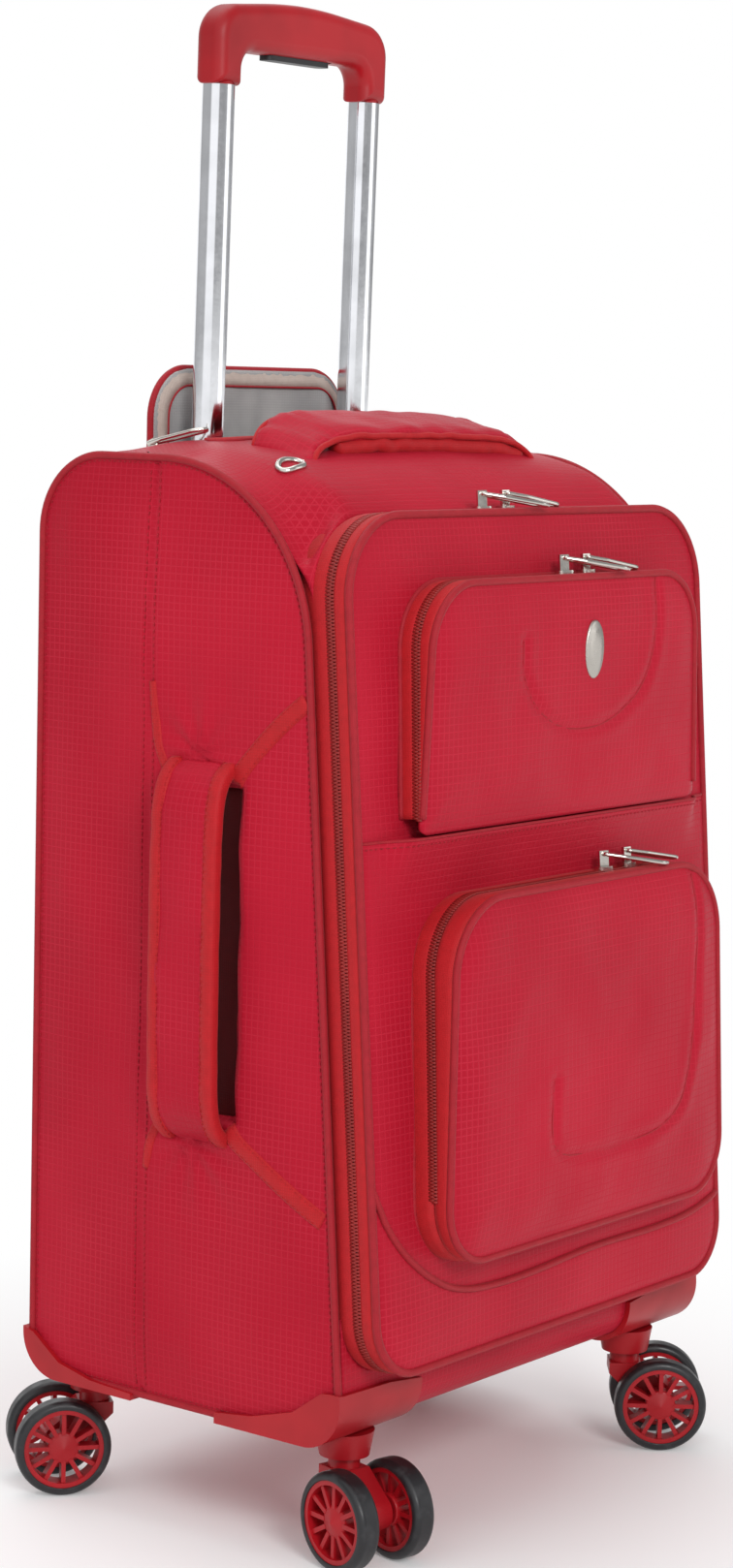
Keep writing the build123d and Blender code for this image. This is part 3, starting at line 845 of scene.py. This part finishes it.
def roof_height(x, y):
    """Height of the crowned roof between the trolley cup and the top handle."""
    behind = max(y - (BODY_BACK - BACK_TOP_R), 0.0)
    fall = BACK_TOP_R - math.sqrt(max(BACK_TOP_R ** 2 - behind ** 2, 0.0))
    ahead = max(ROOF_FRONT_Y - y, 0.0)
    return BODY_TOP - fall + float(roof_crown(x, y)) - ahead ** 2 / 190.0


def cut_recess(obj):
    """Opens the roof over the trolley cup."""
    low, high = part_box("trolley_cup")
    with edited(obj) as shape:
        for axis in (0, 1):
            for limit in (low[axis], high[axis]):
                flat = [float(axis == index) for index in range(3)]
                bmesh.ops.bisect_plane(shape, geom=shape.verts[:] + shape.edges[:] + shape.faces[:],
                                       plane_co=[value * limit for value in flat], plane_no=flat, dist=1e-6)
        middles = [(face, face.calc_center_median()) for face in shape.faces]
        inside = [face for face, at in middles if low[0] < at.x < high[0] and low[1] < at.y < high[1]]
        bmesh.ops.delete(shape, geom=inside, context="FACES")


def make_base():
    """Base from the back seam, under the case and up the front to the zip tape below the lid."""
    low = profile_part((-104.0, 90.0), (BODY_BACK, 100.0), 4.0)
    columns = band_columns(48)
    ends = front(columns, outline_w(columns, top=False), 0.5)
    corner = spots_at(columns, *low[0])
    rows = [ends * (1 - t) + corner * t for t in np.linspace(0, 1, 6, endpoint=False)]
    rows += [spots_at(columns, y, z) for y, z in low]
    band_panel("base", np.array(rows), ["base_panel"], (0, 0, -1))


def make_back():
    """Back panel, raised a little over both trolley tubes and pressed in along four upright seams."""
    heights = np.concatenate([np.arange(100.0, BACK_SEAM_Z, 5.0), [BACK_SEAM_Z]])
    x, z = np.meshgrid(band_columns(56), heights)
    tubes = sum(np.exp(-((x - side * TUBE_X) / 13.0) ** 2) for side in (-1, 1))
    fade = smoothstep(z, 100.0, 120.0) * smoothstep(z, BACK_SEAM_Z, BACK_SEAM_Z - 25.0)
    seams = sum(np.exp(-((np.abs(x) - offset) / 1.1) ** 2) for offset in (42.0, 80.0))
    y = BODY_BACK - 0.3 + fade * (0.9 * tubes - 0.8 * seams + 0.6 * crown(x))
    grid = spots_at(x, y, z)
    grid[..., 1] += wobble(grid, 50.0, 0.8, 11.0) * fade * crown(x)
    band_panel("back", grid, ["back_panel"], (0, 1, 0))


def make_zip_bands():
    """The main zip: fixed tape on the case, moving tape on the lid, and the teeth between them."""
    loop = lid_loop(4.0)
    fixed = [(-1.2, -20.0), (-0.8, -2.0), (0.3, 1.5), (0.7, 4.5), (0.4, 8.0), (-0.3, SPLIT_O - 0.3),
             (-3.4, SPLIT_O - 0.3), (-3.8, -20.0)]
    moving = [(-0.3, SPLIT_O + 0.3), (0.4, 14.0), (0.7, 17.0), (0.3, 20.5), (-3.4, 20.5),
              (-3.4, SPLIT_O + 0.3)]
    edging("main_tape_fixed", "case", loop, on_front, fixed, TAPE, cad=["front_rim"])
    edging("main_tape_moving", "lid", loop, on_front, moving, TAPE)
    teeth("main_teeth_fixed", "case", loop, SPLIT_O, -1, closed=True)
    teeth("main_teeth_moving", "lid", loop, SPLIT_O, 1, closed=True)


# ---------------------------------------------------------------- lid
WAVE = [(-153.5, 196.0), (-146.0, 176.0), (-132.0, 158.0), (-112.0, 143.0), (-90.0, 134.0), (-60.0, 130.5),
        (-20.0, 131.0), (24.0, 133.5), (80.0, 133.0), (122.0, 135.0), (153.5, 141.0)]


def front_seam(points, step=2.5):
    """A smooth curve of (x, w) through given points of (x, z) on the front."""
    return smooth_path([(x, (z - RIM_Z) / math.cos(FRONT_TILT)) for x, z in points], step)


def lid_depth(points, gap):
    """Depth of the lid's face, with its lower panel standing proud below the seam."""
    x, w = points[:, 0], points[:, 1]
    rise = 3.0 * (1 - np.exp(-gap / 16.0))
    below = (w <= SEAM_W).astype(float)
    tucked = smoothstep(np.abs(x), 142.0, 124.0)
    fade = np.clip((w - 36.0) / (SEAM_W - 36.0), 0.0, 1.0)
    reach = pocket_front(UPPER, UPPER["bottom"]) - LID_O - 4.5
    ledge = below * (1.4 + reach * tucked * fade ** 2.0) * smoothstep(gap, 0.0, 6.0)
    waves = wobble(points, 40.0, 1.0, 21.0) * smoothstep(gap, 2.0, 18.0)
    seam = path_distance(points, front_seam(WAVE, 3.0))
    groove = -0.8 * np.exp(-(seam / 2.2) ** 2)
    return LID_O - 0.6 + rise + ledge + waves + groove


def make_lid():
    loop = lid_loop(3.5)
    rows = scan_rows(loop, 4.0)
    rows = np.sort(np.concatenate([rows[np.abs(rows - SEAM_W) > 1.4], [SEAM_W, SEAM_W + 0.35]]))
    panel("lid_face", "lid", loop, on_front, lid_depth, [SHELL, LINING], columns=84,
          rows=rows, cad=["lid_panel"])
    edging("lid_piping", "lid", loop, on_front, circle_profile(-0.6, LID_O - 0.2, PIPING_R + 0.2), PIPING)
    seam = np.stack([np.linspace(-152.0, 152.0, 90), np.full(90, SEAM_W)], axis=1)
    fold = on_front(seam + (0.0, 0.1), lid_depth(seam, edge_distance(seam, loop)) - 0.4)
    tube("lid_seam_fold", "lid", fold, 0.8, PIPING, sides=6)
    below = seam - (0.0, 3.0)
    spots = on_front(below, lid_depth(below, edge_distance(below, loop)) + 0.15)
    stitches("lid_seam_stitches", "lid", spots, front(0, 0, 1) - front(0, 0, 0), PIPING)
    wave = front_seam(WAVE, 3.0)
    raised = on_front(wave, lid_depth(wave, edge_distance(wave, loop)) + 0.9)
    cord("lid_wave_piping", "lid", raised, 1.7, PIPING)


# ---------------------------------------------------------------- pockets
UPPER_SEAM = [(-44.0, 452.0), (-43.0, 436.0), (-32.0, 419.0), (-12.0, 408.5), (14.0, 405.5), (40.0, 411.0),
              (64.0, 426.0), (75.0, 450.0), (77.0, 480.0)]
LOWER_SEAM = [(-40.0, 232.0), (-42.0, 208.0), (-38.0, 197.0), (-20.0, 191.5), (24.0, 190.5), (60.0, 195.0),
              (80.0, 210.0), (90.0, 245.0), (93.0, 290.0), (91.0, 326.0)]


def make_pocket(name, pocket, seam, puff, columns):
    """A zipped pocket: fixed band on the lid, and a folding front with its band, piping and pressed seam."""
    body = f"{name}_flap"
    loop = pocket_loop(pocket, 3.0)
    split = LID_O + pocket["rim"]
    path = front_seam(seam)

    def depth(points, gap):
        base = pocket_front(pocket, points[:, 1])
        rise = puff * (1 - np.exp(-gap / 13.0))
        away = path_distance(points, path)
        pressed = -1.5 * np.exp(-(away / 2.4) ** 2) + 0.5 * np.exp(-((away - 6.0) / 4.0) ** 2)
        waves = wobble(points, 34.0, 1.3, 5.0 + puff) + wobble(points, 12.0, 0.25, puff)
        return base - 0.8 + rise + pressed * smoothstep(gap, 0.0, 6.0) + waves * smoothstep(gap, 2.0, 16.0)

    panel(f"{name}_pocket_front", body, loop, on_front, depth, [SHELL, LINING],
          columns=columns, step=2.6, thickness=2.0, cad=[body])
    spots = path[edge_distance(path, loop) > 2.0]
    seam = on_front(spots, depth(spots, edge_distance(spots, loop)) - 0.05)
    tube(f"{name}_pocket_seam", body, seam, 0.55, PIPING, sides=6)
    zipped = open_loop(loop, pocket)
    whole = name == "lower"
    run = loop if whole else zipped
    low, high = split - 0.3, split + 0.3
    fixed = [(-0.4, LID_O - 1.5), (0.6, LID_O + 3.0), (0.9, split - 4.0),
             (-0.2, low), (-2.6, low), (-2.8, LID_O - 1.5)]

    def moving(point):
        reach = max(float(pocket_front(pocket, point[1])) - 0.8 - high, 0.6)
        return [(-0.2, high), (0.5, high + reach * 0.35), (0.7, high + reach * 0.7),
                (0.2, high + reach), (-2.4, high + reach), (-2.4, high)]

    def cord_depth(point):
        return float(pocket_front(pocket, point[1])) - 0.4

    edging(f"{name}_tape_fixed", "lid", run, on_front, fixed, TAPE, whole, [f"{name}_pocket_rim"])
    edging(f"{name}_tape_moving", body, run, on_front, moving, TAPE, whole)
    teeth(f"{name}_teeth_fixed", "lid", zipped, split, -1)
    teeth(f"{name}_teeth_moving", body, zipped, split, 1)
    piping = circle_profile(-0.8, cord_depth, PIPING_R)
    edging(f"{name}_piping", body, run, on_front, piping, PIPING, whole)
    base = circle_profile(0.8, LID_O + 2.4, 1.3)
    edging(f"{name}_base_cord", "lid", run, on_front, base, PIPING, whole)


def open_loop(loop, pocket):
    """The pocket's outline without its bottom edge, from bottom right round to bottom left."""
    low = pocket["bottom"] + max(pocket["bottom_r"], 4.0) + 2.0
    keep = loop[loop[:, 1] > low]
    angle = np.arctan2(keep[:, 1] - pocket["bottom"], keep[:, 0])
    return keep[np.argsort(angle)]


# ---------------------------------------------------------------- handles
def strap_sections(path, across, out, half_w, half_t, pad, sides=20):
    """Sections of a padded strap: a flattened oval that is fuller in the middle of its length."""
    turns = np.linspace(0, 2 * math.pi, sides, endpoint=False)
    cos, sin = np.cos(turns), np.sin(turns)
    wide = half_w * np.sign(cos) * np.abs(cos) ** 0.45
    thick = half_t * np.sign(sin) * np.abs(sin) ** 0.8
    return (path[:, None, :] + across * wide[:, None]
            + out[:, None, :] * (np.asarray(pad)[:, None] * thick)[..., None])


def path_normals(path, across, outward):
    """Unit normals of a strap's path, on the outward side."""
    out = np.cross(directions(path, False), across)
    out /= np.linalg.norm(out, axis=1)[:, None]
    return out if out[len(out) // 2] @ outward > 0 else -out


def handle_pad(name, sections, out, bumps):
    """A padded strap, its skin moved in and out by bumps."""
    sections += out[:, None, :] * bumps[..., None]
    handle = loft(f"{name}_pad", "case", sections, [SHELL], cad=[name])


def make_top_handle():
    """Padded top handle: a wide strap with two wrinkled ends, a soft roll under its front edge, bindings,
    and sewn strips that run forward from its ends."""
    across = np.array([0.0, math.cos(0.26), math.sin(0.26)])
    corners = [(-99, -9, 542.0), (-97, -8, 546.0), (-90, -6, 552.0), (-78, -5, 556.5), (-62, -5, 559.0),
               (-30, -5, 559.6), (0, -5, 559.8), (40, -5, 559.2), (68, -5, 557.6), (82, -6, 554.6),
               (91, -8, 548.0), (95, -12, 537.0)]
    path = smooth_path(corners, 2.6)
    out = path_normals(path, across, (0.0, 0.0, 1.0))
    near_end = np.maximum(smoothstep(path[:, 0], -58.0, -82.0), smoothstep(path[:, 0], 60.0, 86.0))
    sections = strap_sections(path, across, out, 19.5, 4.2, 1.0 - 0.25 * near_end, 36)
    creases = wobble(sections * np.array([1.0, 0.35, 1.0]), 7.0, 3.0, 2.0) * near_end[:, None]
    soft = wobble(sections, 20.0, 2.0, 6.0) + wobble(sections * np.array([0.4, 1.0, 1.0]), 9.0, 0.9, 8.0)
    handle_pad("top_handle", sections, out, 0.8 * (creases + soft))
    roll = path[(path[:, 0] > -72) & (path[:, 0] < 86)] + across * -15.5 + np.array([0.0, 0.0, -5.6])
    roll[:, 2] += wobble(roll, 11.0, 1.6, 12.0)
    roll[:, 1] += wobble(roll, 8.0, 1.0, 15.0)
    cord("top_handle_roll", "case", roll, 4.6, BINDING, sides=14)
    for name, side in (("front", -1), ("back", 1)):
        edge = path + across * side * 19.6 + out * 0.2
        edge[:, 2] += wobble(edge, 12.0, 1.0, 3.0 * side)
        cord(f"top_handle_binding_{name}", "case", edge, 1.6, BINDING, sides=8)
    for name, x, way in (("left", -84.0, -1.0), ("right", 93.0, 1.0)):
        spots = []
        for t in np.linspace(0.0, 1.0, 14):
            y = -18.0 - 34.0 * t
            spots.append((x - 4.0 * way * t, y, roof_height(x, y) + 0.6 - t))
        cord(f"roof_strip_{name}", "case", spots, 1.5, BINDING, sides=8)


def make_side_handle():
    """Padded side handle standing off the left panel, with flat bright bindings and gathered ends."""
    across = np.array([0.0, 1.0, 0.0])
    middle_y = -12.0
    corners = [(-158.0, 206), (-161.5, 208), (-166.5, 213), (-170.0, 222), (-171.6, 240), (-172.2, 300),
               (-171.6, 358), (-170.0, 376), (-166.5, 386), (-161.5, 391), (-158.0, 393)]
    path = smooth_path([(x, middle_y, z) for x, z in corners], 2.6)
    out = path_normals(path, across, LEFT)
    near_end = smoothstep(np.abs(path[:, 2] - 299.5), 70.0, 92.0)
    sections = strap_sections(path, across, out, 19.0, 3.4, 1.0 - 0.35 * near_end, 28)
    creases = wobble(sections, 8.0, 1.5, 4.0) * near_end[:, None]
    handle_pad("side_handle", sections, out, wobble(sections, 14.0, 0.8, 8.0) + creases)
    for name, side in (("front", -1), ("back", 1)):
        edge = path + across * side * 17.2
        wrap = strap_sections(edge, across, out, 4.2, 3.6, np.ones(len(edge)), 16)
        wrap += out[:, None, :] * wobble(wrap, 12.0, 0.5, 3.0 * side)[..., None]
        trim(f"side_handle_binding_{name}", "case", wrap, BINDING)
        stitches(f"side_handle_stitches_{name}", "case", edge - across * side * 3.0 + out * 3.5, out, BINDING)


def make_rear_flap():
    """Open trolley flap: red cloth behind, grey lining and a raw tape edge in front, and piping round it."""
    half = 79.5
    points = [(-half, 527.0), (half, 527.0), (half, 586.5), (-half, 586.5)]
    loop = rounded(points, [3.0, 3.0, 26.0, 26.0], 2.5)

    def place(spots, depth):
        return spots_at(spots[..., 0], 96.5 + depth, spots[..., 1])

    def back(spots, gap):
        return 1.0 + 1.2 * (1 - np.exp(-gap / 9.0)) + wobble(spots, 26.0, 0.7, 31.0)

    def inside(spots, gap):
        folds = wobble(spots * np.array([1.0, 0.35]), 13.0, 1.5, 17.0) * smoothstep(gap, 2.0, 12.0)
        return -(0.9 + 2.2 * (1 - np.exp(-gap / 9.0)) + folds)

    panel("rear_flap_cloth", "rear_flap", loop, place, back, [SHELL], columns=46, step=3.0,
          thickness=1.2, cad=["rear_flap"], lined=False)
    panel("rear_flap_lining", "rear_flap", loop, place, inside, [LINING], step=2.4,
          thickness=1.0, lined=False)
    edging("rear_flap_piping", "rear_flap", loop, place, circle_profile(0.2, 0.3, 2.0), PIPING)
    free = loop[loop[:, 1] > 531.0]
    edge = even(free[np.argsort(np.arctan2(free[:, 1] - 531.0, free[:, 0]))], 2.0)
    inward = -normals_2d(edge, closed=False)
    ragged = wobble(edge, 3.0, 0.9, 40.0)
    sections = []
    for point, normal, rough in zip(edge, inward, ragged):
        outer, inner = point + normal * (1.6 + rough), point + normal * 8.0
        spots = np.array([outer, (outer + inner) / 2, inner, inner, (outer + inner) / 2, outer])
        sections.append(place(spots, np.array([-2.2, -3.6, -4.4, -3.4, -2.4, -1.2])))
    trim("rear_flap_tape", "rear_flap", sections, TRIM_TAPE)
    seam = edge + inward * 8.6
    cord("rear_flap_seam", "rear_flap", place(seam, np.full(len(seam), -4.3)), 0.6, PIPING, sides=6)


def make_roof_zip():
    """The flap's zip tape and seam on the roof, round the front of the trolley cup."""
    corners = [(-87, 53), (-81, 48.5), (-70, 46), (0, 45), (70, 46), (84, 49), (92, 57), (96, 70), (97, 82)]
    for name, shift, half_w, material, height in (("roof_zip_tape", 0.0, 3.6, TAPE, 1.3),
                                                  ("roof_zip_seam", -7.5, 1.3, PIPING, 1.0)):
        path = smooth_path(corners, 2.6)
        out = normals_2d(path, closed=False)
        sections = []
        for (x, y), (nx, ny) in zip(path, out):
            spots = []
            for share, rise in ((-1, 0.2), (-0.5, height), (0.5, height), (1, 0.2), (1, -1.2), (-1, -1.2)):
                reach = share * half_w - shift
                spots.append((x + nx * reach, y + ny * reach,
                              roof_height(x + nx * reach, y + ny * reach) + rise))
            sections.append(spots)
        trim(name, "case", sections, material)


def make_eyelet():
    """The oval metal eyelet in the roof, laid on the crowned cloth beside the top handle's left end."""
    roof = bpy.data.objects["roof"]
    spots = []
    for turn in np.linspace(0.0, 2 * math.pi, 36, endpoint=False):
        x, y = -121.0 + 8.0 * math.cos(turn), -32.0 + 5.0 * math.sin(turn)
        hit, place, _, _ = roof.ray_cast((x * MM, y * MM, 0.7), (0.0, 0.0, -1.0))
        spots.append([x, y, (place[2] / MM if hit else roof_height(x, y)) + 0.8])
    tube("roof_eyelet", "case", spots, 1.6, ZIP_METAL, closed=True, sides=12, cad=["eyelet"])


def make_badge():
    """A plain oval metal plate on the upper pocket, lying on the puffed cloth."""
    turns = np.linspace(0, 2 * math.pi, 40, endpoint=False)
    rings = []
    for scale, rise in ((1.0, -1.2), (1.0, 0.5), (0.94, 1.1), (0.80, 0.9), (0.74, 1.25), (0.35, 1.5),
                        (0.02, 1.55)):
        w = 156.0 + 15.0 * scale * np.sin(turns)
        rings.append(front(16.0 + 8.0 * scale * np.cos(turns), w, pocket_front(UPPER, w) + 3.6 + rise))
    loft("badge_plate", "upper_flap", rings, [BADGE_METAL], cad=["badge"])


# ---------------------------------------------------------------- finishing what the frame holds
def paint(material, *nodes):
    """Gives CAD nodes their material."""
    for name in nodes:
        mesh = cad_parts[name].data
        mesh.materials.clear()
        mesh.materials.append(material)


def paint_frame():
    corners = ("fl", "fr", "bl", "br")
    paint(RED_PLASTIC, "grip", *[f"{part}_{corner}" for part in ("corner_guard", "fork", "rims")
                                 for corner in corners])
    paint(TYRE, *[f"tyres_{corner}" for corner in corners])
    paint(CHROME, "top_tubes", "mid_tubes")
    paint(STEEL, "rim_wire", "kingpins", "swivel_bearings", "outer_tubes",
          *[f"axle_{corner}" for corner in corners])
    paint(BLACK_PLASTIC, "trolley_cup", "foot_bracket", "release_bar")
    paint(ZIP_METAL, "rear_slider", "rear_pull",
          *[f"{zip_name}_{part}_{side}" for zip_name in ("main", "upper", "lower")
            for part in ("slider", "pull") for side in ("left", "right")])


# ---------------------------------------------------------------- studio
def make_camera():
    """The photo's view: from the front left, a little above the case's top, slightly rolled."""
    camera = bpy.data.cameras.new("camera")
    obj = new_object("camera", camera)
    azimuth, down, roll = math.radians(-52.3), math.radians(6.7), math.radians(1.4)
    look = Vector((-math.sin(azimuth) * math.cos(down), math.cos(azimuth) * math.cos(down), -math.sin(down)))
    right = Vector((math.cos(azimuth), math.sin(azimuth), 0.0))
    up = right.cross(look)
    rolled_right = right * math.cos(roll) + up * math.sin(roll)
    rolled_up = up * math.cos(roll) - right * math.sin(roll)
    obj.matrix_world = Matrix((rolled_right, rolled_up, -look)).transposed().to_4x4()
    obj.location = (-1.428, -1.094, 0.581)
    camera.sensor_fit = "AUTO"
    camera.lens = 78.2
    camera.clip_end = 50.0
    bpy.context.scene.camera = obj


def area_light(name, place, size, power):
    """A square lamp that looks at the middle of the case."""
    light = bpy.data.lights.new(name, "AREA")
    light.size = size
    light.energy = power
    obj = new_object(name, light)
    obj.location = place
    obj.rotation_euler = (Vector((0.0, 0.0, 0.35)) - Vector(place)).to_track_quat("-Z", "Y").to_euler()


def make_world():
    """Plain white behind the object; a brighter side, a dimmer side and dark ends for metals to mirror."""
    world = bpy.data.worlds.new("studio")
    bpy.context.scene.world = world
    world.use_nodes = True
    tree = world.node_tree
    tree.nodes.clear()
    new, link = tree.nodes.new, tree.links.new
    across = new("ShaderNodeVectorMath")
    across.operation = "DOT_PRODUCT"
    across.inputs[1].default_value = (0.61, -0.79, 0.0)
    link(new("ShaderNodeTexCoord").outputs["Generated"], across.inputs[0])
    shift = new("ShaderNodeMapRange")
    shift.inputs[1].default_value = -1.0
    shift.inputs[2].default_value = 1.0
    link(across.outputs["Value"], shift.inputs[0])
    ramp = new("ShaderNodeValToRGB")
    stops = ((0.0, 0.55), (0.12, 0.50), (0.17, 1.25), (0.56, 1.25), (0.62, 0.36), (0.90, 0.42), (1.0, 0.6))
    while len(ramp.color_ramp.elements) < len(stops):
        ramp.color_ramp.elements.new(0.5)
    for element, (place, value) in zip(ramp.color_ramp.elements, stops):
        element.position = place
        element.color = (value, value, value * 1.01, 1.0)
    link(shift.outputs[0], ramp.inputs[0])
    soft = new("ShaderNodeBackground")
    link(ramp.outputs[0], soft.inputs[0])
    soft.inputs[1].default_value = 0.9
    white = new("ShaderNodeBackground")
    white.inputs[0].default_value = (1.0, 1.0, 1.0, 1.0)
    white.inputs[1].default_value = 1.0
    mix = new("ShaderNodeMixShader")
    sources = (new("ShaderNodeLightPath").outputs["Is Camera Ray"], soft.outputs[0], white.outputs[0])
    for index, source in enumerate(sources):
        link(source, mix.inputs[index])
    link(mix.outputs[0], new("ShaderNodeOutputWorld").inputs[0])


def make_studio():
    """White surroundings, a wide floor and three soft lamps."""
    bpy.context.scene.view_settings.view_transform = "Standard"
    make_world()
    size, height = 60.0, -0.0002
    mesh = bpy.data.meshes.new("floor")
    mesh.from_pydata([(x * size, y * size, height) for x, y in ((-1, -1), (1, -1), (1, 1), (-1, 1))],
                     [], [(0, 1, 2, 3)])
    mesh.materials.append(studio_paint())
    new_object("floor", mesh)
    area_light("key", (-1.5, -2.4, 1.7), 0.9, 42.0)
    area_light("fill", (1.6, -2.4, 1.2), 1.8, 9.0)
    area_light("top", (0.2, 0.6, 2.4), 1.4, 9.0)


make_camera()
make_studio()
make_sides()
make_roof()
make_base()
make_back()
make_zip_bands()
make_lid()
make_pocket("upper", UPPER, UPPER_SEAM, 4.5, 88)
make_pocket("lower", LOWER, LOWER_SEAM, 6.0, 90)
make_badge()
make_eyelet()
make_side_details()
make_top_handle()
make_side_handle()
make_rear_flap()
make_roof_zip()
paint_frame()
